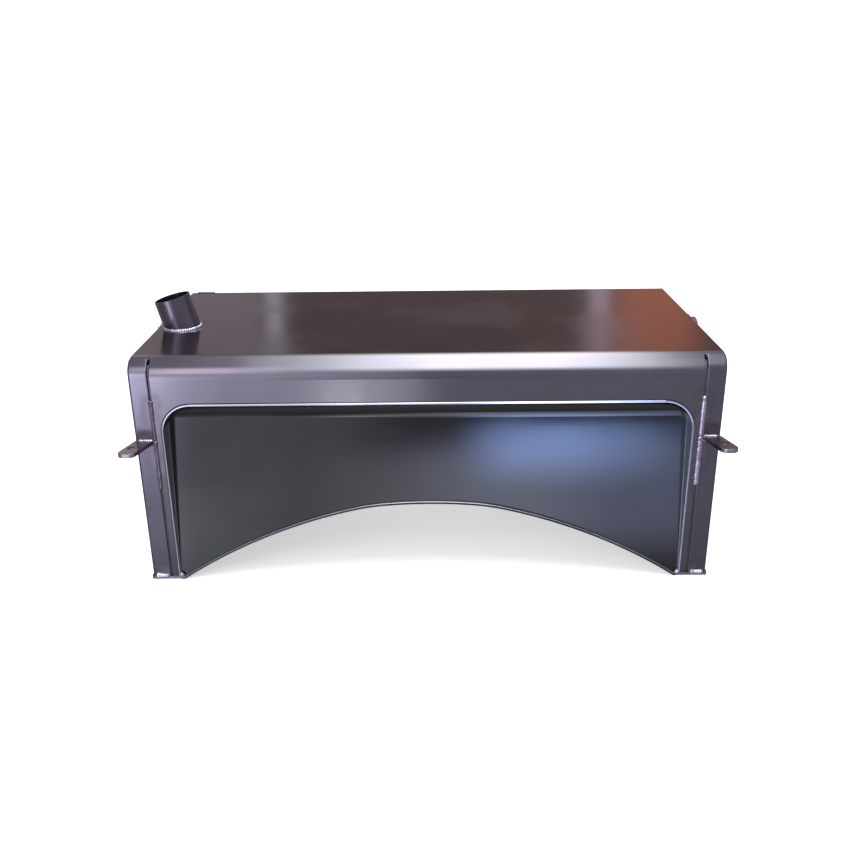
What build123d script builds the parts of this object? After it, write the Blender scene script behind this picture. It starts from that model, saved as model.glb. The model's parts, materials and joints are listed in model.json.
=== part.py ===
"""Welded saddle-type hydraulic reservoir, bare steel, as a set of separate pieces.

The tank straddles something: an arch runs through it from front to back and leaves two
legs, each closed by a foot plate. The front has a sloping recess. Two ears on the front
corners bolt the tank down. Modelling is done with the front face at y = 0, the middle of
the tank at x = 0 and the underside of the feet at z = 0; +X is to the right as seen from
the front, +Y runs to the back. place() then moves each piece so that the origin is the
centre of the bounding box's bottom face. Millimetres throughout.
"""
import math
import os

from build123d import *

# Body
width = 914.0
height = 377.0
depth = 436.0
sheet = 3.0
bend_radius = 32.0          # outside radius of the bend between top and front

# Front flanges of the end plates, which curve over the top bend
flange_width = 30.0
slit_gap = 2.2              # open slit between each flange and the front of the wrapper
flange_end_angle = 64.0     # how far round the 90 degree bend each flange reaches
notch_angle = 50.0          # where the wrapper becomes full width, under the flange's end
lift_angle = 45.0           # from here on the flange lies on top of the wrapper
corner_radius = 4.0         # outside radius of the vertical corner of each end plate
flange_corner_radius = 5.0

edge_round = 1.6            # edges of the flanges and of the slit, rolled over in bending
top_edge_round = 2.0        # end edges of the top sheet

# Sloping front recess
opening_half = 411.5
opening_top = 304.5
opening_corner = 45.0
recess_bottom_y = 2.0       # the recess panel's front face at z = 0
recess_slope = 0.115        # how far it leans back, per millimetre of height
rim_proud = 2.2             # how far the recess rim stands out of the front
rim_edge_round = 2.0        # outer edge of the rim
recess_top_bend = 32.0      # inside radius where the panel turns forward at the top
opening_edge_round = 1.0    # cut edge of the wrapper round the opening
seam_clearance = 0.1        # between the wrapper's edge and the recess rim
hole_clearance = 0.1        # round a tube or coupling in the sheet it goes through

# Arch, as three tangent arcs from the crown outwards
arch_crown = 127.2
crown_radius, crown_angle = 900.0, 4.5
shoulder_radius, shoulder_angle = 370.0, 12.5
flank_radius, flank_angle = 880.0, 36.0
arch_sheet = 4.0
arch_lip = 5.0              # how far the arch plate stands out of the recess panel
arch_lip_round = 1.6        # upper front edge only

# Feet
foot_thickness = 5.0
foot_proud = 2.0
foot_corner_radius = 3.0
foot_inner_x = 350.0        # inboard of where the arch meets the foot plates

# Mounting ears
ear_thickness = 6.35
ear_top = 247.0
ear_root_inner = 429.5
ear_root_outer = 458.5
ear_reach = 54.0
ear_lean = 16.5             # degrees outwards
ear_tip_radius = 10.0
ear_edge_round = 0.8
ear_hole_radius = 5.55
ear_hole_x = 455.5
ear_hole_y = -29.0

# Filler neck
neck_radius = 30.15
neck_wall = 2.0
neck_x, neck_y = -417.0, 196.0
neck_tilt = 14.0            # degrees to the left
neck_length = 52.5          # from the top sheet to the rim, along its axis
neck_inside = 18.0          # how far it reaches into the tank

# Weld-in half couplings: outside radius, bore radius, length, reach past the wall
return_coupling = (28.6, 19.2, 33.3, 14.1)
suction_coupling = (36.5, 28.2, 36.5, 15.0)
drain_coupling = (17.5, 11.7, 25.4, 12.0)
return_y, return_z = 246.0, 342.5
suction_x, suction_z = -395.0, 92.0
drain_x, drain_z = 424.0, 31.0
coupling_chamfer = 1.2

# Inside
baffle_x = 150.0
baffle_hole_radius = 32.0
baffle_hole_spacing = 180.0
baffle_limber = 30.0        # corner cut-outs that let oil past along the floor
baffle_top_gap = 8.0        # clear of the rim of the recess panel
drop_tube_radius = 21.1
drop_tube_wall = 2.8
drop_tube_x = 398.0
drop_tube_bend = 36.0
drop_tube_end = 70.0

# Welds
bead_width = 7.0
bead_height = 2.2
inner_weld_width = 8.0      # continuous welds behind the open slits, which seal the tank
inner_weld_height = 2.5
seam_weld_top = 314.0
seam_weld_bottom = 162.0
fillet_leg = 4.0
neck_fillet = 5.5
port_fillet = 6.0
fillet_land = 0.6           # flat left at the top of a ring fillet
rear_weld_inner = 3.5       # reach of the rear corner fillets on the rear panel,
rear_weld_outer = 1.5       # on the end plate,
rear_weld_height = 1.8      # and out from both

half_width = width / 2
bend_z = height - bend_radius               # height of the top bend's centre
flange_inner = half_width - flange_width
panel_half = flange_inner - slit_gap        # half width of the wrapper's front
front_y = -(depth + suction_coupling[3] - ear_reach) / 2
place = Location((0, front_y, 0))
far = 600.0                                 # larger than the tank, for cutting tools
near = 0.1                                  # tolerance for picking edges


def polar(centre, radius, angle):
    """Point at an angle, in degrees, round a 2-D centre."""
    turn = math.radians(angle)
    return (centre[0] + radius * math.cos(turn), centre[1] + radius * math.sin(turn))


def yz_prism(edges, x0, x1):
    """Solid with an outline drawn in (y, z), from x0 to x1."""
    return extrude(Plane.YZ.offset(x0) * make_face(edges), amount=x1 - x0)


def xz_prism(edges, y0, y1):
    """Solid with an outline drawn in (x, z), from y0 to y1."""
    return extrude(Plane.XZ.offset(-y1) * make_face(edges), amount=y1 - y0)


def xy_prism(edges, z0, z1):
    """Solid with an outline drawn in (x, y), from z0 to z1."""
    return extrude(Plane.XY.offset(z0) * make_face(edges), amount=z1 - z0)


def box(x0, x1, y0, y1, z0, z1):
    """Box between two corners."""
    middle = ((x0 + x1) / 2, (y0 + y1) / 2, (z0 + z1) / 2)
    return Pos(*middle) * Box(abs(x1 - x0), abs(y1 - y0), abs(z1 - z0))


def closed_path(points):
    """Edges of a closed polygon."""
    return Polyline(*points, close=True).edges()


def recess_y(z):
    """Front face of the sloping recess panel at height z."""
    return recess_bottom_y + recess_slope * z


def recess_back(z, thickness=sheet):
    """Face of the recess panel at a depth behind its front face, at height z."""
    return recess_y(z) + thickness / math.cos(math.atan(recess_slope))


# ---------------------------------------------------------------- arch

def arch_arcs(offset):
    """Right half of the arch, crown to end, as (centre, radius, start, size) tuples."""
    crown = (0.0, arch_crown - crown_radius)
    joint = polar(crown, crown_radius, 90 - crown_angle)
    shoulder = polar(joint, -shoulder_radius, 90 - crown_angle)
    joint = polar(shoulder, shoulder_radius, 90 - shoulder_angle)
    flank = polar(joint, -flank_radius, 90 - shoulder_angle)
    return [
        (crown, crown_radius + offset, 90, -crown_angle),
        (shoulder, shoulder_radius + offset, 90 - crown_angle, crown_angle - shoulder_angle),
        (flank, flank_radius + offset, 90 - shoulder_angle, shoulder_angle - flank_angle),
    ]


def arch_tunnel(offset, y0=-far, y1=far):
    """Everything under the arch, grown by an offset."""
    edges = []
    for centre, radius, start, size in arch_arcs(offset):
        edges.append(CenterArc(centre, radius, start, size))
        edges.append(CenterArc((-centre[0], centre[1]), radius, 180 - start, -size))
    end = edges[-2] @ 1
    floor_z = end.Y - 20
    corners = [(end.X, end.Y), (end.X, floor_z), (-end.X, floor_z), (-end.X, end.Y)]
    edges += [Line(a, b) for a, b in zip(corners, corners[1:])]
    return xz_prism(edges, y0, y1)


def arch_height(x, offset):
    """Height of the arch's flank, grown by an offset, at a distance x from the middle."""
    centre, radius, _, _ = arch_arcs(offset)[-1]
    return centre[1] + math.sqrt(radius ** 2 - (abs(x) - centre[0]) ** 2)


def arch_plate():
    """Curved floor of the tank, with its front edge parallel to the recess panel."""
    shell = arch_tunnel(arch_sheet, -arch_lip, depth - sheet) - arch_tunnel(0)
    shell -= box(-far, far, -far, far, -far, 0)
    shell -= in_front_of_recess(-arch_lip)
    upper = shell.faces().filter_by(lambda f: f.normal_at(f.center()).Z > 0.3)
    lip = upper.edges().filter_by(
        lambda e: abs(e.center().Y - lip_y(e)) < 1 and e.length > 5 * arch_sheet)
    return fillet(lip, arch_lip_round)


def lip_y(edge):
    """Where the arch plate's front edge is, at the height of an edge's middle."""
    return recess_y(edge.center().Z) - arch_lip


# ---------------------------------------------------------------- wrapper and recess

def in_front_of_recess(shift):
    """Space in front of the sloping recess face moved back by a shift."""
    low, high = -50.0, height + 50.0
    return yz_prism(closed_path([
        (-far, low), (recess_y(low) + shift, low), (recess_y(high) + shift, high), (-far, high),
    ]), -far, far)


def opening_outline(grow):
    """Front opening, square at the bottom and rounded at the top, grown all round."""
    half, top, radius = opening_half + grow, opening_top + grow, opening_corner + grow
    side_top = top - radius
    floor_z = foot_thickness
    return [
        Line((-half, floor_z), (-half, side_top)),
        CenterArc((-half + radius, side_top), radius, 180, -90),
        Line((-half + radius, top), (half - radius, top)),
        CenterArc((half - radius, side_top), radius, 90, -90),
        Line((half, side_top), (half, floor_z)),
        Line((half, floor_z), (-half, floor_z)),
    ]


def below_bend_angle(angle, xa, xb):
    """Everything below a ray from the top bend's centre, between two values of x."""
    centre = (bend_radius, bend_z)
    reach = 3 * bend_radius
    tip = polar(centre, reach, 180 - angle)
    outline = closed_path([centre, tip, (-reach, tip[1]), (-reach, 0), (bend_radius, 0)])
    return yz_prism(outline, min(xa, xb), max(xa, xb))


def top_front_wrapper():
    """Top and front in one bent sheet, notched for the flanges of the end plates."""
    centre = (bend_radius, bend_z)
    inner_radius = bend_radius - sheet
    profile = [
        Line((depth, height), (bend_radius, height)),
        CenterArc(centre, bend_radius, 90, 90),
        Line((0, bend_z), (0, foot_thickness)),
        Line((0, foot_thickness), (sheet, foot_thickness)),
        Line((sheet, foot_thickness), (sheet, bend_z)),
        CenterArc(centre, inner_radius, 180, -90),
        Line((bend_radius, height - sheet), (depth, height - sheet)),
        Line((depth, height - sheet), (depth, height)),
    ]
    body = yz_prism(profile, -half_width, half_width)
    body -= xz_prism(opening_outline(sheet + seam_clearance), -far, bend_radius)
    body = fillet(front_edges(body), opening_edge_round)
    for side in (-1, 1):
        start = side * panel_half
        body -= below_bend_angle(notch_angle, start, side * far)
        body -= below_bend_angle(flange_end_angle + 1, start, side * flange_inner)
    slit_edges = body.edges().filter_by(lambda e: (
        abs(abs(e.center().X) - panel_half) < near and on_outside(e @ 0.5)
        and e.length > bend_radius / 2))
    body = fillet(slit_edges, edge_round)
    ends = body.edges().filter_by(Axis.Y).filter_by(
        lambda e: abs(e.center().X) > half_width - near and e.center().Z > height - near)
    body = fillet(ends, top_edge_round)
    return body - neck_cylinder(neck_radius + hole_clearance, -neck_length, neck_length)


def on_outside(point):
    """True on the outer surface of the wrapper's front or of its top bend."""
    if point.Z < bend_z:
        return abs(point.Y) < near
    return math.hypot(point.Y - bend_radius, point.Z - bend_z) > bend_radius - sheet / 2


def front_edges(shape):
    """Edges of the opening on the front face."""
    return shape.edges().filter_by(lambda e: (
        abs(e.center().Y) < near and opening_distance(e @ 0.5) < 2 * sheet
        and e.center().Z > foot_thickness + near))


def outer_rim_edges(shape):
    """Edges round the outside of the recess rim, at its front."""
    return shape.edges().filter_by(lambda e: (
        abs(e.center().Y + rim_proud) < near and e.length > 2 * sheet
        and opening_distance(e @ 0.5) > sheet / 2))


def opening_distance(point):
    """How far a point is outside the opening, to its side or over its top."""
    half, top = opening_half - opening_corner, opening_top - opening_corner
    over_x, over_z = max(0.0, abs(point.X) - half), max(0.0, point.Z - top)
    return math.hypot(over_x, over_z) - opening_corner


def recess_space(grow):
    """Hollow of the recess, grown all round: sloping at the back and bent forward at the top."""
    lean = math.atan(recess_slope)
    centre_z = opening_top - recess_top_bend
    centre = (recess_y(centre_z) - recess_top_bend / math.cos(lean), centre_z)
    radius, top = recess_top_bend + grow, opening_top + grow
    bend = CenterArc(centre, radius, 90, -90 - math.degrees(lean))
    low = (recess_back(0, grow), 0)
    profile = [Line((-far, 0), (-far, top)), Line((-far, top), (centre[0], top)), bend,
               Line(bend @ 1, low), Line(low, (-far, 0))]
    return yz_prism(profile, -far, far) & xz_prism(opening_outline(grow), -far, far)


def recess_panel():
    """Sloping panel, bent forward at the top, with sides; its rim reaches through the front."""
    pan = recess_space(sheet) - recess_space(0) - arch_tunnel(arch_sheet)
    pan -= box(-far, far, -far, -rim_proud, -far, far)
    return fillet(outer_rim_edges(pan), rim_edge_round)


def rear_panel():
    """Flat back, between the end plates and under the top."""
    inside = half_width - sheet
    plate = box(-inside, inside, depth - sheet, depth, foot_thickness, height - sheet)
    plate -= arch_tunnel(0)
    plate -= along_y(suction_x, suction_z, suction_coupling[0] + hole_clearance, 0, far)
    for side in (-1, 1):
        plate -= along_y(side * drain_x, drain_z, drain_coupling[0] + hole_clearance, 0, far)
    return plate


# ---------------------------------------------------------------- ends and feet

def flange_curves():
    """Outer and inner curves of a flange, bottom to top, in (y, z)."""
    lapped = bend_radius + sheet
    cosine = math.cos(math.radians(lift_angle))
    first_radius = (bend_radius - lapped * cosine) / (1 - cosine)
    first_z = bend_z + (lapped - first_radius) * math.sin(math.radians(lift_angle))
    return first_radius, first_z, lapped


def front_flange():
    """Flange that covers the front corner and laps over the wrapper's top bend."""
    first_radius, first_z, lapped = flange_curves()
    first, second = (first_radius, first_z), (bend_radius, bend_z)
    turn = flange_end_angle - lift_angle
    end = 180 - flange_end_angle
    outline = [
        Line((0, foot_thickness), (0, first_z)),
        CenterArc(first, first_radius, 180, -lift_angle),
        CenterArc(second, lapped, 180 - lift_angle, -turn),
        Line(polar(second, lapped, end), polar(second, bend_radius, end)),
        CenterArc(second, bend_radius, end, turn),
        CenterArc(first, first_radius - sheet, 180 - lift_angle, lift_angle),
        Line((sheet, first_z), (sheet, foot_thickness)),
        Line((sheet, foot_thickness), (0, foot_thickness)),
    ]
    return yz_prism(outline, flange_inner, half_width)


def end_plate_right():
    """Flat end with its front flange; the corner between them is bent round."""
    first_radius, first_z, lapped = flange_curves()
    first, second = (first_radius, first_z), (bend_radius, bend_z)
    inner_radius = bend_radius - sheet
    step = 180 - notch_angle
    outline = [
        Line((0, foot_thickness), (0, first_z)),
        CenterArc(first, first_radius, 180, -lift_angle),
        CenterArc(second, lapped, 180 - lift_angle, lift_angle - notch_angle),
        Line(polar(second, lapped, step), polar(second, inner_radius, step)),
        CenterArc(second, inner_radius, step, 90 - step),
        Line((bend_radius, height - sheet), (depth, height - sheet)),
        Line((depth, height - sheet), (depth, foot_thickness)),
        Line((depth, foot_thickness), (0, foot_thickness)),
    ]
    plate = yz_prism(outline, half_width - sheet, half_width) + front_flange()
    front = plate.edges().filter_by(Axis.Z).filter_by(
        lambda e: abs(e.center().X - half_width) < near and abs(e.center().Y) < near)
    plate = fillet(front, corner_radius)
    flange_corner = plate.edges().filter_by(lambda e: (
        abs(e.center().X - flange_inner) < near and e.length < sheet + near
        and e.center().Z > bend_z))
    plate = fillet(flange_corner, flange_corner_radius)
    end_z = polar(second, lapped, 180 - flange_end_angle)[1] - 3 * near
    outer = plate.faces().filter_by(faces_front).edges().filter_by(lambda e: (
        e.center().X < flange_inner + flange_corner_radius or e.center().Z > end_z))
    return fillet(outer, edge_round)


def faces_front(face):
    """True for a face whose outward normal leans to the front."""
    normal = face.normal_at(face.center())
    return normal.Y < -0.3


def end_plate(side):
    """End plate; the right one has the hole for the return coupling."""
    plate = end_plate_right()
    if side > 0:
        return plate - along_x(return_y, return_z, return_coupling[0] + hole_clearance, 0, far)
    return mirror(plate, about=Plane.YZ)


def foot_plate_right():
    """Plate that closes the bottom of a leg, a little proud of the sheets on it."""
    outer_x = half_width + foot_proud
    plate = box(foot_inner_x, outer_x, -foot_proud, depth + foot_proud, 0, foot_thickness)
    plate -= arch_tunnel(arch_sheet)
    outer = plate.edges().filter_by(Axis.Z).filter_by(lambda e: e.center().X > half_width)
    return fillet(outer, foot_corner_radius)


def mounting_ear_right():
    """Flat bar that leans outwards from the front flange, with one bolt hole."""
    slope = math.tan(math.radians(ear_lean))
    shift = ear_reach * slope
    outline = closed_path([
        (ear_root_inner, 0), (ear_root_outer, 0),
        (ear_root_outer + shift, -ear_reach), (ear_root_inner + shift, -ear_reach),
    ])
    ear = xy_prism(outline, ear_top - ear_thickness, ear_top)
    tip = ear.edges().filter_by(Axis.Z).filter_by(lambda e: e.center().Y < -near)
    ear = fillet(tip, ear_tip_radius)
    rim = ear.faces().filter_by(Axis.Z).edges().filter_by(lambda e: e.center().Y < -near)
    ear = fillet(rim, ear_edge_round)
    ear -= Pos(ear_hole_x, ear_hole_y, ear_top) * Cylinder(ear_hole_radius, 4 * ear_thickness)
    return ear


# ---------------------------------------------------------------- neck and ports

def neck_cylinder(radius, low, high):
    """Cylinder on the filler neck's axis, from low to high along it."""
    axis = Location((neck_x, neck_y, height), (0, -neck_tilt, 0))
    return axis * (Pos(0, 0, (low + high) / 2) * Cylinder(radius, high - low))


def filler_neck():
    """Thin tube, tilted to the left, through the top sheet."""
    tube = neck_cylinder(neck_radius, -neck_inside, neck_length)
    return tube - neck_cylinder(neck_radius - neck_wall, -neck_length, 2 * neck_length)


def along_x(y, z, radius, x0, x1):
    """Cylinder along X."""
    return Pos((x0 + x1) / 2, y, z) * (Rot(0, 90, 0) * Cylinder(radius, x1 - x0))


def along_y(x, z, radius, y0, y1):
    """Cylinder along Y."""
    return Pos(x, (y0 + y1) / 2, z) * (Rot(90, 0, 0) * Cylinder(radius, y1 - y0))


def half_coupling(sizes):
    """Weld-in half coupling along +Z, with the outer face of the wall at z = 0."""
    radius, bore, length, reach = sizes
    body = Pos(0, 0, reach - length / 2) * Cylinder(radius, length)
    body -= Cylinder(bore, 4 * length)
    return chamfer(body.faces().filter_by(Axis.Z).edges(), coupling_chamfer)


def ring_fillet(radius, leg):
    """Fillet weld round a coupling, on the wall at z = 0."""
    cone = Pos(0, 0, leg / 2) * Cone(radius + leg, radius + fillet_land, leg)
    return cone - Cylinder(radius, 4 * leg)


def on_right_end(shape):
    """Turn a shape made along +Z to stand on the right end at the return port."""
    return Location((half_width, return_y, return_z), (0, 90, 0)) * shape


def on_back(shape, x, z):
    """Turn a shape made along +Z to stand on the rear panel."""
    return Location((x, depth, z), (-90, 0, 0)) * shape


# ---------------------------------------------------------------- inside

def baffle_right():
    """Cross plate with flow holes, cut back at its lower corners."""
    low = arch_height(baffle_x - sheet, arch_sheet)
    high = low + baffle_limber
    top = height - sheet
    rear = depth - sheet
    outline = closed_path([
        (recess_back(low) + baffle_limber, low), (rear - baffle_limber, low),
        (rear, high), (rear, top), (recess_back(top) + baffle_top_gap, top),
        (recess_back(high), high),
    ])
    plate = yz_prism(outline, baffle_x - sheet / 2, baffle_x + sheet / 2)
    middle = (recess_y(low) + rear) / 2
    for shift in (-baffle_hole_spacing / 2, baffle_hole_spacing / 2):
        plate -= along_x(middle + shift, (low + top) / 2, baffle_hole_radius, 0, far)
    return plate


def return_drop_tube():
    """Tube from the return coupling down into the right leg, below the oil level."""
    start = half_width + return_coupling[3] - return_coupling[2]
    points = [
        (start, return_y, return_z), (drop_tube_x, return_y, return_z),
        (drop_tube_x, return_y, drop_tube_end),
    ]
    path = FilletPolyline(*points, radius=drop_tube_bend)
    section = Plane(origin=points[0], z_dir=(-1, 0, 0))
    ring = Circle(drop_tube_radius) - Circle(drop_tube_radius - drop_tube_wall)
    return sweep(section * ring, path=path)


# ---------------------------------------------------------------- welds

def bead(x, z0, z1):
    """Low vertical bead on the front face."""
    half = bead_width / 2
    radius = (half ** 2 + bead_height ** 2) / (2 * bead_height)
    rod = Pos(x, radius - bead_height, (z0 + z1) / 2) * Cylinder(radius, z1 - z0)
    return rod - box(-far, far, 0, far, -far, far)


def inner_seam_weld():
    """Continuous bead inside the tank, up behind the slit and round the top bend."""
    seam_x = flange_inner - slit_gap / 2
    centre = (bend_radius, bend_z)
    outer_radius = bend_radius - sheet
    inner_radius = outer_radius - inner_weld_height
    end = 180 - notch_angle
    outline = [
        Line((sheet, foot_thickness), (sheet, bend_z)),
        CenterArc(centre, outer_radius, 180, -notch_angle),
        Line(polar(centre, outer_radius, end), polar(centre, inner_radius, end)),
        CenterArc(centre, inner_radius, end, notch_angle),
        Line((sheet + inner_weld_height, bend_z), (sheet + inner_weld_height, foot_thickness)),
        Line((sheet + inner_weld_height, foot_thickness), (sheet, foot_thickness)),
    ]
    half = inner_weld_width / 2
    return yz_prism(outline, seam_x - half, seam_x + half)


def neck_weld():
    """Fillet weld round the foot of the filler neck."""
    spread = Pos(neck_x, neck_y, height + neck_fillet / 2) * Cone(
        neck_radius + neck_fillet, neck_radius + fillet_land, neck_fillet)
    return spread - neck_cylinder(neck_radius, -neck_length, neck_length)


def front_fillet(x0, x1, z, leg):
    """Fillet weld along X on the front face, above a shelf or, with a minus leg, below."""
    outline = closed_path([(0, z), (-fillet_leg, z), (0, z + leg)])
    return yz_prism(outline, x0, x1)


def rear_corner_weld():
    """Fillet down the corner where the rear panel meets the right end plate."""
    x = half_width - sheet
    outline = closed_path([
        (x - rear_weld_inner, depth), (x + rear_weld_outer, depth), (x, depth + rear_weld_height)])
    return xy_prism(outline, foot_thickness + rear_weld_height, height - sheet)


# ---------------------------------------------------------------- all pieces

def both_sides(nodes, name, shape):
    """Add a piece and its mirror image."""
    nodes[name + "_right"] = shape
    nodes[name + "_left"] = mirror(shape, about=Plane.YZ)


def all_nodes():
    """Every piece by name, before it is moved to the part's own frame."""
    seam_x = flange_inner - slit_gap / 2
    ear_bottom = ear_top - ear_thickness
    drain_radius = drain_coupling[0]
    nodes = {
        "top_front_wrapper": top_front_wrapper(),
        "recess_panel": recess_panel(),
        "arch_plate": arch_plate(),
        "rear_panel": rear_panel(),
        "end_plate_left": end_plate(-1),
        "end_plate_right": end_plate(1),
        "filler_neck": filler_neck(),
        "return_coupling": on_right_end(half_coupling(return_coupling)),
        "return_drop_tube": return_drop_tube(),
        "suction_coupling": on_back(half_coupling(suction_coupling), suction_x, suction_z),
        "filler_neck_weld": neck_weld(),
        "return_coupling_weld": on_right_end(ring_fillet(return_coupling[0], port_fillet)),
        "suction_coupling_weld": on_back(
            ring_fillet(suction_coupling[0], port_fillet), suction_x, suction_z),
    }
    both_sides(nodes, "foot_plate", foot_plate_right())
    both_sides(nodes, "mounting_ear", mounting_ear_right())
    both_sides(nodes, "baffle", baffle_right())
    both_sides(nodes, "drain_coupling", on_back(half_coupling(drain_coupling), drain_x, drain_z))
    both_sides(nodes, "drain_coupling_weld", on_back(
        ring_fillet(drain_radius, fillet_leg), drain_x, drain_z))
    both_sides(nodes, "seam_weld_upper", bead(seam_x, ear_top, seam_weld_top))
    both_sides(nodes, "seam_weld_lower", bead(seam_x, seam_weld_bottom, ear_top))
    both_sides(nodes, "inner_seam_weld", inner_seam_weld())
    weld_end = half_width - corner_radius
    both_sides(nodes, "ear_weld", front_fillet(ear_root_inner, weld_end, ear_top, fillet_leg))
    both_sides(nodes, "ear_weld_under", front_fillet(
        ear_root_inner, weld_end, ear_bottom, -fillet_leg))
    both_sides(nodes, "foot_weld", front_fillet(
        flange_inner + sheet, weld_end, foot_thickness, fillet_leg))
    both_sides(nodes, "rear_corner_weld", rear_corner_weld())
    return nodes


if __name__ == "__main__":
    os.makedirs("parts", exist_ok=True)
    for node_name, node_shape in all_nodes().items():
        export_step(place * node_shape, f"parts/{node_name}.step")
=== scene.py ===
import json
import math

import bmesh
import bpy
from mathutils import Matrix, Vector, noise


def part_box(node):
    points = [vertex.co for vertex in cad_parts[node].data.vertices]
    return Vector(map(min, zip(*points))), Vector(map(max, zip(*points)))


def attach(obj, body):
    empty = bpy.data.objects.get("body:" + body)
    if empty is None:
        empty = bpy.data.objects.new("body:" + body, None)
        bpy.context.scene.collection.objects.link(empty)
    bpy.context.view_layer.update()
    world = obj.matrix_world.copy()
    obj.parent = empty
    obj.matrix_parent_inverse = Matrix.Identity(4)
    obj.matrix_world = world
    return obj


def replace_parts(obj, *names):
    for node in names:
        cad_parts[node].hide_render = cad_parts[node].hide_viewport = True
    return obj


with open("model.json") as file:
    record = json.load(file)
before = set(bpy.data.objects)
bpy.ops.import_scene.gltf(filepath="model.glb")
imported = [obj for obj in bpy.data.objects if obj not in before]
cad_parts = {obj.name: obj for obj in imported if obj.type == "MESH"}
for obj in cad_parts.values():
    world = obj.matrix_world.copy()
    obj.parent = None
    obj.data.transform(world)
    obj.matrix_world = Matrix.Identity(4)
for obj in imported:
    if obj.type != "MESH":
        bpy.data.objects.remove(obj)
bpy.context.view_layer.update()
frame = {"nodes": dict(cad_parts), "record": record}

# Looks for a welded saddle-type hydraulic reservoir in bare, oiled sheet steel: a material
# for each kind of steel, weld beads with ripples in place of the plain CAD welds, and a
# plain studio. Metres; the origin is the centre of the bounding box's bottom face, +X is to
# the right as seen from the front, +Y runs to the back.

nodes = frame["nodes"]

# Sizes, from the frame where it has them
top_low, top_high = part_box("top_front_wrapper")
front_y = top_low.y
back_y = top_high.y
top_z = top_high.z
half_width = top_high.x
sheet = 0.003
slit_gap = 0.0022
seam_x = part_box("end_plate_right")[0].x - slit_gap / 2
seam_weld_low, seam_weld_high = 0.165, 0.310
recess_side_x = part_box("recess_panel")[1].x - sheet
recess_bend_z = 0.274           # where the recess panel starts to turn forward
foot_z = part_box("foot_plate_right")[1].z
ear_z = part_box("mounting_ear_right")[1].z
ear_root_x = 0.444
floor_z = -0.0006               # just under the feet and their welds

neck_foot = Vector((-0.417, 0.196 + front_y, top_z))
neck_tilt = math.radians(14)
neck_radius = 0.03015
return_radius, suction_radius, drain_radius = 0.0286, 0.0365, 0.0175    # outsides of the couplings

# Colours of bare steel, and of light and shade painted on it
oil_smoke = (0.125, 0.108, 0.118)
heat_blue = (0.20, 0.19, 0.24)
# dark front edge of the arch lip: partly the sheared edge's own colour, partly painted shade
cut_edge_and_painted_shade = (0.030, 0.030, 0.034)
ground_edge = (0.38, 0.38, 0.42)
# painted highlight on top of the arch lip
painted_lip_highlight = (0.50, 0.50, 0.54)
# painted highlight on the rim round the recess opening
painted_rim_highlight = (0.46, 0.45, 0.50)


# ---------------------------------------------------------------- shader helpers

def add(tree, kind, inputs=None, **settings):
    """Add a shader node, with its settings and inputs; an input can be a socket."""
    node = tree.nodes.new(kind)
    for key, value in settings.items():
        setattr(node, key, value)
    for key, value in (inputs or {}).items():
        if isinstance(value, bpy.types.NodeSocket):
            tree.links.new(value, node.inputs[key])
        else:
            node.inputs[key].default_value = value
    return node


def maths(tree, operation, a, b=0.0):
    """Result of a maths node."""
    return add(tree, "ShaderNodeMath", {0: a, 1: b}, operation=operation).outputs[0]


def ramp(tree, value, low, high, to_low=0.0, to_high=1.0):
    """Smooth change from one number to another as value goes from low to high."""
    return add(tree, "ShaderNodeMapRange", {
        "Value": value, "From Min": low, "From Max": high, "To Min": to_low, "To Max": to_high,
    }, interpolation_type="SMOOTHSTEP").outputs[0]


def blend(tree, factor, a, b, mode="MIX"):
    """Mix of two colours."""
    node = add(tree, "ShaderNodeMix", {0: factor, 6: a, 7: b}, data_type="RGBA", blend_type=mode)
    return node.outputs[2]


def stretched_noise(tree, place, stretch, detail=3.0, seed=0.0):
    """Noise with its own frequency, per metre, along each axis."""
    scaled = add(tree, "ShaderNodeMapping", {
        "Vector": place, "Scale": stretch, "Location": (seed, seed * 1.7, seed * 0.6)})
    return add(tree, "ShaderNodeTexNoise", {
        "Vector": scaled.outputs[0], "Scale": 1.0, "Detail": detail}).outputs[0]


def colour(red, green, blue):
    return (red, green, blue, 1.0)


def shade_of(tint, strength):
    """A colour made darker or lighter."""
    return colour(*[strength * part for part in tint])


def object_place(tree):
    """Position on the object, and the same with both halves folded onto the right one."""
    place = add(tree, "ShaderNodeTexCoord").outputs["Object"]
    axes = add(tree, "ShaderNodeSeparateXYZ", {0: place}).outputs
    folded_x = maths(tree, "ABSOLUTE", axes[0])
    folded = add(tree, "ShaderNodeCombineXYZ", {0: folded_x, 1: axes[1], 2: axes[2]}).outputs[0]
    return place, axes, folded, folded_x


def near_point(tree, place, point, inside, outside):
    """1 within one distance of a point, falling to 0 at another."""
    away = add(tree, "ShaderNodeVectorMath", {0: place, 1: point}, operation="DISTANCE")
    return ramp(tree, away.outputs["Value"], inside, outside, 1.0, 0.0)


def near_upright(tree, axes, folded_x, x, y, low, high, reach):
    """1 on an upright line, falling to 0 at a distance from it."""
    closest = add(tree, "ShaderNodeClamp", {"Value": axes[2], "Min": low, "Max": high}).outputs[0]
    offset = add(tree, "ShaderNodeCombineXYZ", {
        0: maths(tree, "SUBTRACT", folded_x, x),
        1: maths(tree, "SUBTRACT", axes[1], y),
        2: maths(tree, "SUBTRACT", axes[2], closest),
    }).outputs[0]
    length = add(tree, "ShaderNodeVectorMath", {0: offset}, operation="LENGTH").outputs["Value"]
    return ramp(tree, length, 0.0, reach, 1.0, 0.0)


# ---------------------------------------------------------------- materials

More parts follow.
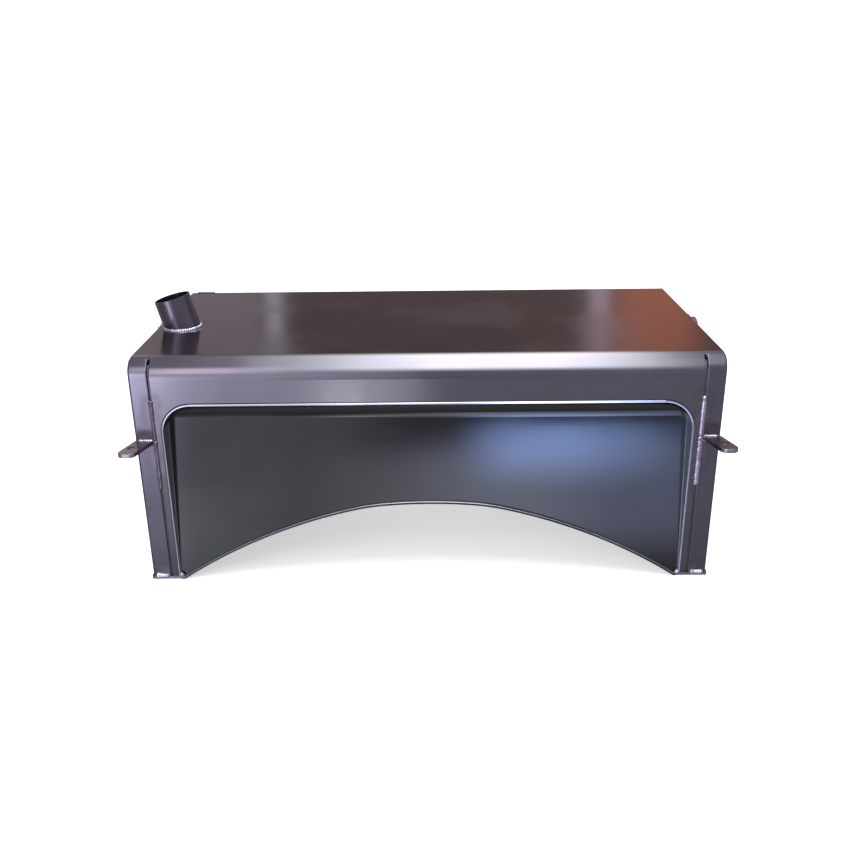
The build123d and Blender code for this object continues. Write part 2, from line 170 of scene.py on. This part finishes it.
def weld_heat(tree, place, axes, folded, folded_x):
    """Where welding has heated the sheets: the seams, ears, feet and filler neck."""
    seam = near_upright(tree, axes, folded_x, seam_x, front_y, seam_weld_low, seam_weld_high, 0.030)
    ear = near_point(tree, folded, (ear_root_x, front_y, ear_z), 0.008, 0.034)
    foot = near_point(tree, folded, (ear_root_x, front_y, foot_z), 0.006, 0.040)
    neck = near_point(tree, place, neck_foot, neck_radius, neck_radius + 0.022)
    sides = maths(tree, "MAXIMUM", seam, ear)
    ends = maths(tree, "MAXIMUM", foot, neck)
    total = maths(tree, "MAXIMUM", sides, ends)
    ragged = stretched_noise(tree, place, (55, 55, 40), 4.0, 3.0)
    return maths(tree, "MULTIPLY", total, ramp(tree, ragged, 0.30, 0.62, 0.15, 1.0))


def oiled_steel(name, tint, rough, grain_axis, paint=None, heated=False, dulled=None):
    """Cold-rolled sheet under a thin film of oil: rolling grain, smears, small scratches.

    tint is the base colour and grain_axis the rolling direction. paint, if there is one,
    changes the colour by where on the object it is, and dulled says where the steel is matt.
    """
    material = bpy.data.materials.new(name)
    material.use_nodes = True
    tree = material.node_tree
    shader = tree.nodes["Principled BSDF"]
    place, axes, folded, folded_x = object_place(tree)

    along, across = 9.0, 1400.0
    stretch = [across, across, across]
    stretch["XYZ".index(grain_axis)] = along
    grain = stretched_noise(tree, place, stretch, 2.0)
    smear = stretched_noise(tree, place, (7, 7, 7), 5.0, 1.3)
    cloud = stretched_noise(tree, place, (2.4, 3.0, 4.0), 3.0, 7.1)
    speck = stretched_noise(tree, place, (420, 420, 420), 2.0, 2.2)

    base = colour(*tint)
    if paint:
        base = paint(tree, axes, base)
    base = blend(tree, ramp(tree, cloud, 0.35, 0.7, 0.0, 0.20), base, shade_of(tint, 0.62))
    base = blend(tree, ramp(tree, smear, 0.48, 0.75, 0.0, 0.15), base, shade_of(tint, 1.4))
    base = blend(tree, ramp(tree, speck, 0.70, 0.80, 0.0, 0.35), base, shade_of(tint, 0.4))
    roughness = maths(tree, "ADD", rough, ramp(tree, smear, 0.35, 0.75, -0.03, 0.06))
    roughness = maths(tree, "ADD", roughness, ramp(tree, grain, 0.3, 0.7, -0.015, 0.015))

    if heated:
        heat = weld_heat(tree, place, axes, folded, folded_x)
        smoke = blend(tree, ramp(tree, heat, 0.05, 0.5, 0.0, 0.45), base, colour(*oil_smoke))
        base = blend(tree, ramp(tree, heat, 0.55, 1.0, 0.0, 0.6), smoke, colour(*heat_blue))
        roughness = maths(tree, "ADD", roughness, maths(tree, "MULTIPLY", heat, 0.12))

    if dulled:
        matt = maths(tree, "MULTIPLY", dulled(tree, axes), 0.45)
        roughness = maths(tree, "ADD", roughness, matt)

    scratches = stretched_noise(tree, place, (18, 30, 900), 2.0, 5.5)
    fine = maths(tree, "MULTIPLY", grain, 0.5)
    height = maths(tree, "ADD", fine, maths(tree, "MULTIPLY", scratches, 0.3))
    bump = add(tree, "ShaderNodeBump", {"Strength": 0.012, "Distance": 0.0004, "Height": height})
    tree.links.new(base, shader.inputs["Base Color"])
    tree.links.new(roughness, shader.inputs["Roughness"])
    tree.links.new(bump.outputs[0], shader.inputs["Normal"])
    shader.inputs["Metallic"].default_value = 1.0
    shader.inputs["Coat Weight"].default_value = 0.25
    shader.inputs["Coat Roughness"].default_value = 0.12
    return material


def paint_wrapper(tree, axes, base):
    """A thin brown on the top, stronger to the right: partly a bloom on the steel, partly a painted
    reflection of brown surroundings.
    """
    # partly the steel's own brown bloom, partly a painted reflection
    brown = blend(tree, ramp(tree, axes[0], -0.15, 0.42), colour(0.165, 0.140, 0.140),
                  colour(0.220, 0.150, 0.125))
    return blend(tree, ramp(tree, axes[2], top_z - 0.0018, top_z - 0.0002), base, brown)


def normal_axes(tree):
    """The three parts of the surface's own direction."""
    normal = add(tree, "ShaderNodeTexCoord").outputs["Normal"]
    return add(tree, "ShaderNodeSeparateXYZ", {0: normal}).outputs


def facing_front(tree, low, high):
    """0 where a surface faces away from the front, 1 where it faces it."""
    forward = maths(tree, "MULTIPLY", normal_axes(tree)[1], -1.0)
    return ramp(tree, forward, low, high)


def paint_lip_highlight_and_cut_edge_shade(tree, axes, base):
    """Painted highlight on top of the lip, and dark along its front edge: partly the sheared edge's own
    colour, partly painted shade.
    """
    # painted highlight where the lip faces up
    base = blend(tree, ramp(tree, normal_axes(tree)[2], 0.2, 0.5), base, colour(*painted_lip_highlight))
    # dark where the lip faces the front: partly the cut edge's own colour, partly painted shade
    return blend(tree, facing_front(tree, 0.80, 0.96), base, colour(*cut_edge_and_painted_shade))


def paint_ground_edge(tree, axes, base):
    """Bright where the front edge of a plate was ground."""
    return blend(tree, facing_front(tree, 0.30, 0.80), base, colour(*ground_edge))


def recess_sides(tree, axes):
    """1 on the recess's side walls."""
    folded_x = maths(tree, "ABSOLUTE", axes[0])
    return ramp(tree, folded_x, recess_side_x - 0.0012, recess_side_x - 0.0002)


def paint_recess(tree, axes, base):
    """Painted highlight on the rim round the opening, a paler greenish painted reflection in the top bend,
    and side walls painted paler to lift their shade."""
    # painted reflection: the top bend is paler and greenish
    base = blend(tree, ramp(tree, axes[2], recess_bend_z, recess_bend_z + 0.012), base,
                 colour(0.085, 0.100, 0.085))
    # painted light: the side walls are paler than the panel to lift their shade
    base = blend(tree, recess_sides(tree, axes), base, colour(0.30, 0.33, 0.31))
    # painted highlight along the proud rim round the opening
    rim = ramp(tree, axes[1], front_y + 0.0002, front_y - 0.0008)
    return blend(tree, rim, base, colour(*painted_rim_highlight))


def weld_metal(name, metal, tinted, rough):
    """Weld bead with a straw or blue tint and dull slag spots."""
    material = bpy.data.materials.new(name)
    material.use_nodes = True
    tree = material.node_tree
    shader = tree.nodes["Principled BSDF"]
    place = add(tree, "ShaderNodeTexCoord").outputs["Object"]
    tint = stretched_noise(tree, place, (110, 110, 110), 3.0, 4.0)
    slag = stretched_noise(tree, place, (420, 420, 420), 4.0, 9.0)
    base = blend(tree, ramp(tree, tint, 0.40, 0.70), colour(*metal), colour(*tinted))
    base = blend(tree, ramp(tree, slag, 0.58, 0.72, 0.0, 0.7), base, colour(0.06, 0.055, 0.06))
    bump = add(tree, "ShaderNodeBump", {"Strength": 0.3, "Distance": 0.0003, "Height": slag})
    tree.links.new(base, shader.inputs["Base Color"])
    tree.links.new(ramp(tree, slag, 0.4, 0.7, rough, rough + 0.2), shader.inputs["Roughness"])
    tree.links.new(bump.outputs[0], shader.inputs["Normal"])
    shader.inputs["Metallic"].default_value = 1.0
    return material


def make_materials():
    """Material for each of the record's slots, and a duller one for the left seam's beads."""
    return {
        "wrapper_steel": oiled_steel("wrapper", (0.160, 0.156, 0.176), 0.15, "X",
                                     paint=paint_wrapper, heated=True),
        "end_steel": oiled_steel("end", (0.150, 0.145, 0.176), 0.20, "Z", heated=True),
        # much darker than the other sheets: partly a darker sheet and partly painted shade in the recess
        "recess_steel": oiled_steel("recess", (0.037, 0.040, 0.038), 0.13, "X",
                                    paint=paint_recess, dulled=recess_sides),
        "rear_steel": oiled_steel("rear", (0.150, 0.145, 0.150), 0.20, "X"),
        "arch_steel": oiled_steel("arch", (0.190, 0.185, 0.200), 0.38, "Y", paint=paint_lip_highlight_and_cut_edge_shade),
        "plate_steel": oiled_steel("plate", (0.190, 0.165, 0.170), 0.26, "Y",
                                   paint=paint_ground_edge, heated=True),
        "tube_steel": oiled_steel("tube", (0.140, 0.130, 0.155), 0.30, "Z"),
        "coupling_steel": oiled_steel("coupling", (0.090, 0.082, 0.085), 0.30, "Z"),
        "inner_steel": oiled_steel("inner", (0.150, 0.148, 0.150), 0.40, "Z"),
        "weld_metal": weld_metal("weld_bright", (0.66, 0.63, 0.76), (0.42, 0.38, 0.48), 0.24),
        "dull_weld": weld_metal("weld_dull", (0.19, 0.18, 0.215), (0.15, 0.13, 0.14), 0.30),
    }


def paint_nodes(materials):
    """Give every CAD node the material of its slot."""
    for part in frame["record"]["subparts"]:
        mesh = nodes[part["node"]].data
        mesh.materials.clear()
        mesh.materials.append(materials[part["material_slot"]])


# ---------------------------------------------------------------- weld beads

def resampled(points, step, closed):
    """Points about a step apart along a line."""
    line = list(points) + ([points[0]] if closed else [])
    lengths = [(b - a).length for a, b in zip(line, line[1:])]
    total = sum(lengths)
    count = max(4, round(total / step))
    places = [total * i / count for i in range(count if closed else count + 1)]
    result, start, segment = [], 0.0, 0
    for distance in places:
        while segment < len(lengths) - 1 and distance > start + lengths[segment]:
            start += lengths[segment]
            segment += 1
        share = (distance - start) / lengths[segment]
        result.append((line[segment].lerp(line[segment + 1], min(1.0, share)), distance))
    return result, total


def bead(name, line, outward, width, height, closed=False, finish="weld_metal", seed=0):
    """Rippled weld bead along a line. outward(point) is the way it bulges."""
    step, around, ripple = 0.0008, 14, 0.0032
    points, total = resampled(line, step, closed)
    mesh = bmesh.new()
    rings = []
    for i, (point, distance) in enumerate(points):
        ahead = points[(i + 1) % len(points)][0] if closed or i + 1 < len(points) else point
        behind = points[i - 1][0] if closed or i else point
        along = (ahead - behind).normalized()
        up = outward(point)
        up = (up - along * up.dot(along)).normalized()
        side = along.cross(up)
        taper = 1.0
        if not closed:
            from_end = min(distance, total - distance)
            taper = math.sqrt(min(1.0, (from_end + 0.0004) / (width * 0.5)))
        wander = noise.noise(Vector((distance * 140, seed, 0))) * 0.10
        swell = 1 + noise.noise(Vector((distance * 90, seed, 5))) * 0.28
        if not closed:
            swell += 0.35 * math.exp(-((distance - 0.003) / 0.003) ** 2)
        ring = []
        for k in range(around):
            angle = 2 * math.pi * k / around
            across, rise = math.cos(angle), math.sin(angle)
            phase = (distance + across * across * ripple * 0.5) / ripple + 0.35 * swell
            scallop = abs(math.sin(math.pi * phase))
            tall = height * swell * (0.80 + 0.22 * scallop) if rise > 0 else height * 0.4
            sideways = width / 2 * (across * (0.94 + 0.06 * scallop) * swell + wander)
            ring.append(mesh.verts.new(point + (side * sideways + up * tall * rise) * taper))
        rings.append(ring)
    pairs = list(zip(rings, rings[1:])) + ([(rings[-1], rings[0])] if closed else [])
    for a, b in pairs:
        for k in range(around):
            n = (k + 1) % around
            mesh.faces.new((a[k], a[n], b[n], b[k]))
    if not closed:
        mesh.faces.new(rings[0])
        mesh.faces.new(rings[-1])
    bmesh.ops.recalc_face_normals(mesh, faces=mesh.faces)
    for face in mesh.faces:
        face.smooth = True
    data = bpy.data.meshes.new(name)
    mesh.to_mesh(data)
    mesh.free()
    piece = bpy.data.objects.new(name, data)
    bpy.context.scene.collection.objects.link(piece)
    piece.data.materials.append(materials[finish])
    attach(piece, "root")
    return piece


def straight(a, b):
    return [Vector(a), Vector(b)]


def always(direction):
    """Bulges the same way all along."""
    return lambda point: Vector(direction)


def circle_line(centre, axis, radius, count=96):
    """Points round a circle."""
    turn = Vector(axis).to_track_quat("Z", "Y")
    line = []
    for i in range(count):
        angle = 2 * math.pi * i / count
        line.append(Vector(centre) + turn @ Vector((radius * math.cos(angle), radius * math.sin(angle), 0)))
    return line


def port_bead(node, axis, radius):
    """Fillet bead round a coupling, in place of its plain CAD weld."""
    low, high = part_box(node)
    axis = Vector(axis)
    centre = (low + high) / 2
    thickness = abs((high - low).dot(axis))
    foot = centre - axis * thickness / 2
    leg = thickness * 0.9

    def outward(point):
        return (point - foot).normalized() + axis

    line = circle_line(foot, axis, radius + leg * 0.15)
    piece = bead(node + "_bead", line, outward, leg * 1.45, leg * 0.8, True, "dull_weld", len(node))
    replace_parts(piece, node)


def neck_bead():
    """Bead round the filler neck, where its tilted tube meets the top."""
    long_radius = neck_radius / math.cos(neck_tilt)
    count = 96
    line = []
    for i in range(count):
        angle = 2 * math.pi * i / count
        x, y = long_radius * math.cos(angle), neck_radius * math.sin(angle)
        line.append(neck_foot + Vector((x, y, 0.0004)))

    def outward(point):
        return (point - neck_foot).normalized() + Vector((0, 0, 1))

    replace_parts(bead("filler_neck_bead", line, outward, 0.0064, 0.0031, True, seed=3), "filler_neck_weld")


def seam_beads(side, suffix):
    """Beads in the front slit, over and under the ear: dull and low on the left end, and
    bright over the right ear."""
    for part, seed in (("upper", 11), ("lower", 23)):
        node = f"seam_weld_{part}_{suffix}"
        low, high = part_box(node)
        line = straight((side * seam_x, front_y, high.z), (side * seam_x, front_y, low.z))
        bright = side > 0
        piece = bead(node + "_bead", line, always((0, -1, 0)), 0.0074 if bright else 0.0068,
                     0.0026 if bright and part == "upper" else 0.0017,
                     finish="weld_metal" if bright else "dull_weld", seed=seed + side)
        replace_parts(piece, node)


def corner_beads(side, suffix):
    """Short fillets at the ear, the foot and the rear corner."""
    for node, up, width, height in (("ear_weld", (0, -1, 1), 0.0046, 0.0026),
                                    ("ear_weld_under", (0, -1, -1), 0.0050, 0.0028),
                                    ("foot_weld", (0, -1, 0.4), 0.0085, 0.0034)):
        name = f"{node}_{suffix}"
        low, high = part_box(name)
        corner_z = high.z if node == "ear_weld_under" else low.z
        line = straight((low.x, front_y, corner_z), (high.x, front_y, corner_z))
        piece = bead(name + "_bead", line, always(up), width, height, seed=len(node) + side)
        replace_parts(piece, name)
    name = f"rear_corner_weld_{suffix}"
    low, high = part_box(name)
    x = side * (half_width - sheet)
    piece = bead(name + "_bead", straight((x, back_y, low.z), (x, back_y, high.z)),
                 always((0, 1, 0)), 0.006, 0.0018, seed=31 + side)
    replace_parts(piece, name)


def tack_welds():
    """Stitches on the left top edge and the rear top edge, and a spot where each leg
    meets the arch."""
    stitch_pitch, stitch_length = 0.0105, 0.006
    x, z = -half_width + 0.0008, top_z - 0.001
    for i in range(5):
        y = front_y + 0.190 + stitch_pitch * i
        line = straight((x, y, z), (x, y + stitch_length, z))
        bead(f"edge_stitch_{i}", line, always((-1, 0, 1)), 0.0052, 0.0020, seed=40 + i)

    y, z = back_y - 0.0006, top_z - 0.0008
    line = straight((-half_width + 0.012, y, z), (-half_width + 0.045, y, z))
    bead("rear_stitch", line, always((0, 1, 1)), 0.0065, 0.0030, finish="dull_weld", seed=60)

    for side, suffix in ((-1, "left"), (1, "right")):
        line = straight((side * 0.413, front_y, foot_z + 0.002),
                        (side * 0.405, front_y - 0.001, foot_z + 0.001))
        bead(f"leg_spot_{suffix}", line, always((0, -1, 0.5)), 0.0075, 0.0034, seed=70 + side)


def make_welds():
    neck_bead()
    port_bead("return_coupling_weld", (1, 0, 0), return_radius)
    port_bead("suction_coupling_weld", (0, 1, 0), suction_radius)
    for side, suffix in ((-1, "left"), (1, "right")):
        port_bead(f"drain_coupling_weld_{suffix}", (0, 1, 0), drain_radius)
        seam_beads(side, suffix)
        corner_beads(side, suffix)
    tack_welds()


# ---------------------------------------------------------------- studio

def area_light(name, place, target, width, height, power):
    """Rectangular lamp aimed at a point. The steel mirrors the dome, so by default the lamp
    isn't seen in reflections."""
    data = bpy.data.lights.new(name, "AREA")
    data.shape = "RECTANGLE"
    data.size, data.size_y = width, height
    data.energy = power
    lamp = bpy.data.objects.new(name, data)
    lamp.location = place
    lamp.rotation_mode = "QUATERNION"
    lamp.rotation_quaternion = (Vector(target) - Vector(place)).to_track_quat("-Z", "Y")
    lamp.visible_camera = False
    lamp.visible_glossy = False
    bpy.context.scene.collection.objects.link(lamp)
    return lamp


def recess_lamp(name, ahead, across, up, light):
    """Soft lamp ahead of the front by a distance, that lights nothing but the recess. across
    and up are where in x and z it begins, is full, starts to fade and is gone; light is its
    brightness. Two lamps at one distance would hide each other."""
    width, height = across[3] - across[0], up[3] - up[0]
    place = Vector(((across[0] + across[3]) / 2, front_y - ahead, (up[0] + up[3]) / 2))
    lamp = area_light(name, place, place + Vector((0, 1, 0)), width, height, math.pi * width * height)
    lamp.visible_glossy = True
    lamp.light_linking.receiver_collection = recess_only
    lamp.data.use_nodes = True
    tree = lamp.data.node_tree
    spot = add(tree, "ShaderNodeTexCoord").outputs["UV"]
    axes = add(tree, "ShaderNodeSeparateXYZ", {0: spot}).outputs
    share = maths(tree, "MULTIPLY",
                  reach(tree, axes[0], [(x - across[0]) / width for x in across]),
                  reach(tree, axes[1], [(z - up[0]) / height for z in up]))
    glow = blend(tree, share, colour(0, 0, 0), colour(*light))
    tree.links.new(glow, tree.nodes["Emission"].inputs["Color"])


# A blue window low in front on the right, its glow, a grey sheen and a greenish glow: name,
# distance ahead of the front, reach across, reach up and light
recess_lights = (
    ("window", 0.450, (0.04, 0.20, 0.28, 0.60), (0.03, 0.160, 0.179, 0.190), (2.7, 4.1, 9.0)),
    ("window_glow", 0.455, (-0.15, 0.15, 0.50, 0.70), (-0.14, -0.02, 0.12, 0.19), (1.2, 1.25, 2.1)),
    ("sheen", 0.460, (-0.30, -0.05, 0.20, 0.45), (-0.12, 0.00, 0.08, 0.16), (0.90, 0.86, 0.95)),
    ("left_glow", 0.465, (-0.80, -0.60, -0.42, -0.25), (-0.15, -0.06, 0.03, 0.08), (0.25, 0.32, 0.30)),
)


def floor_sweep():
    """Pale floor that curves up into a pale wall far behind. From below it is clear."""
    wall_y, bend, steps = 3.2, 1.2, 12
    profile = [(-6.0, floor_z), (wall_y, floor_z)]
    for i in range(1, steps + 1):
        angle = math.pi / 2 * i / steps
        profile.append((wall_y + bend * math.sin(angle), bend - bend * math.cos(angle)))
    profile.append((wall_y + bend, 6.0))
    points = [(x, y, z) for y, z in profile for x in (-7.0, 7.0)]
    faces = [(i, i + 1, i + 3, i + 2) for i in range(0, len(points) - 2, 2)]
    mesh = bpy.data.meshes.new("floor_sweep")
    mesh.from_pydata(points, [], faces)
    for polygon in mesh.polygons:
        polygon.use_smooth = True
    material = bpy.data.materials.new("studio_floor")
    material.use_nodes = True
    tree = material.node_tree
    shader = tree.nodes["Principled BSDF"]
    underneath = add(tree, "ShaderNodeNewGeometry").outputs["Backfacing"]
    clear = add(tree, "ShaderNodeBsdfTransparent").outputs[0]
    both = add(tree, "ShaderNodeMixShader", {0: underneath, 1: shader.outputs[0], 2: clear}).outputs[0]
    tree.links.new(both, tree.nodes["Material Output"].inputs["Surface"])
    shader.inputs["Base Color"].default_value = colour(0.88, 0.88, 0.88)
    shader.inputs["Roughness"].default_value = 0.8
    shader.inputs["Emission Color"].default_value = colour(1, 1, 1)
    shader.inputs["Emission Strength"].default_value = 0.50
    mesh.materials.append(material)
    floor = bpy.data.objects.new("floor_sweep", mesh)
    bpy.context.scene.collection.objects.link(floor)
    floor.visible_glossy = False
    floor.visible_shadow = False


# Soft patches of light and colour that the steel mirrors. Each has a reach across (sine of
# the angle to the right) and a reach round (degrees up from the horizon in front, over the
# top and down to 180 at the horizon behind): begins, full, starts to fade, gone. Then the
# light it adds.
patches = (
    ((-0.60, -0.50, -0.12, -0.02), (-30, -19, 15, 45), (0.80, 0.78, 0.98)),    # left wall
    ((-0.60, -0.36, -0.30, -0.26), (-24, -18, -8, 20), (3.50, 3.30, 4.10)),    # its bright end
    ((-0.12, -0.09, -0.075, -0.01), (-26, -20, -18.5, -14.5), (2.80, 2.65, 2.70)),    # bright doorway
    ((-0.25, 0.05, 0.14, 0.28), (20, 50, 118, 160), (6.0, 6.0, 6.2)),          # ceiling lamp
    ((-0.33, -0.27, -0.23, -0.17), (12, 32, 42, 62), (3.2, 2.7, 3.0)),         # lamp, upper left
    ((-0.60, -0.50, -0.19, -0.17), (150, 160, 170, 178), (0.18, 0.16, 0.20)),  # wall behind, left
    ((-0.175, -0.170, -0.159, -0.154), (150, 160, 170, 178), (0.50, 0.50, 0.62)),   # post, left
    ((0.160, 0.166, 0.180, 0.186), (150, 160, 170, 178), (0.43, 0.40, 0.53)),  # post, right
    ((0.17, 0.21, 0.25, 0.29), (150, 160, 170, 178), (0.42, 0.12, 0.05)),      # rust-red shelf
    ((-0.60, -0.40, -0.30, -0.28), (140, 150, 158, 161), (0.90, 0.75, 0.75)),  # low wall behind, far left
)
front_ambient = (0.52, 0.49, 0.60)
back_ambient = (0.155, 0.118, 0.122)
floor_ambient = (0.30, 0.28, 0.33)
plain_white = (0.72, 0.72, 0.72)


def reach(tree, value, limits):
    """1 inside the limits, with soft ends."""
    begins, full, fades, gone = limits
    rise = ramp(tree, value, begins, full)
    return maths(tree, "MULTIPLY", rise, ramp(tree, value, fades, gone, 1.0, 0.0))


def dome():
    """World: plain soft white light, and the soft patches that only the steel mirrors."""
    world = bpy.data.worlds.new("studio")
    world.use_nodes = True
    tree = world.node_tree
    background = tree.nodes["Background"]
    direction = add(tree, "ShaderNodeTexCoord").outputs["Generated"]
    axes = add(tree, "ShaderNodeSeparateXYZ", {0: direction}).outputs
    across = axes[0]
    angle = maths(tree, "ARCTAN2", axes[2], maths(tree, "MULTIPLY", axes[1], -1.0))
    round_angle = maths(tree, "DEGREES", angle)

    behind = reach(tree, round_angle, (140, 158, 172, 179))
    light = blend(tree, behind, colour(*front_ambient), colour(*back_ambient))
    light = blend(tree, ramp(tree, round_angle, -21, -36), light, colour(*floor_ambient))
    for reach_across, reach_round, tint in patches:
        share = maths(tree, "MULTIPLY", reach(tree, across, reach_across),
                      reach(tree, round_angle, reach_round))
        light = blend(tree, share, light, colour(*tint), "ADD")
    shade = maths(tree, "MULTIPLY", reach(tree, round_angle, (-20, -14, -9, 2)), 0.15)
    light = blend(tree, shade, light, colour(0, 0, 0))

    mirrored = add(tree, "ShaderNodeLightPath").outputs["Is Glossy Ray"]
    tree.links.new(blend(tree, mirrored, colour(*plain_white), light), background.inputs["Color"])
    bpy.context.scene.world = world


def make_camera():
    """The camera stands above and in front, near the middle, looking down."""
    pitch, yaw, roll = (math.radians(a) for a in (21.662, 0.5402, -0.70036))
    forward = Vector((-math.sin(yaw) * math.cos(pitch), math.cos(yaw) * math.cos(pitch), -math.sin(pitch)))
    right = Vector((math.cos(yaw), math.sin(yaw), 0))
    up = right.cross(forward)
    turned_right = math.cos(roll) * right + math.sin(roll) * up
    turned_up = math.cos(roll) * up - math.sin(roll) * right
    data = bpy.data.cameras.new("camera")
    data.sensor_width = 36.0
    data.lens = 39.88
    camera = bpy.data.objects.new("camera", data)
    rotation = Matrix((turned_right, turned_up, -forward)).transposed()
    place = Vector((0.009583, front_y - 1.35877, 0.809295))
    camera.matrix_world = Matrix.Translation(place) @ rotation.to_4x4()
    bpy.context.scene.collection.objects.link(camera)
    bpy.context.scene.camera = camera


def make_studio():
    floor_sweep()
    dome()
    for row in recess_lights:
        recess_lamp(*row)
    area_light("overhead", (0.0, -0.45, 2.6), (0, 0, 0.2), 2.4, 1.8, 52)
    area_light("front_fill", (-1.5, -2.4, 1.8), (0, 0, 0.2), 1.5, 1.2, 20)
    make_camera()
    bpy.context.scene.view_settings.view_transform = "Standard"


recess_only = bpy.data.collections.new("recess_only")
recess_only.objects.link(nodes["recess_panel"])

materials = make_materials()
paint_nodes(materials)
make_welds()
make_studio()
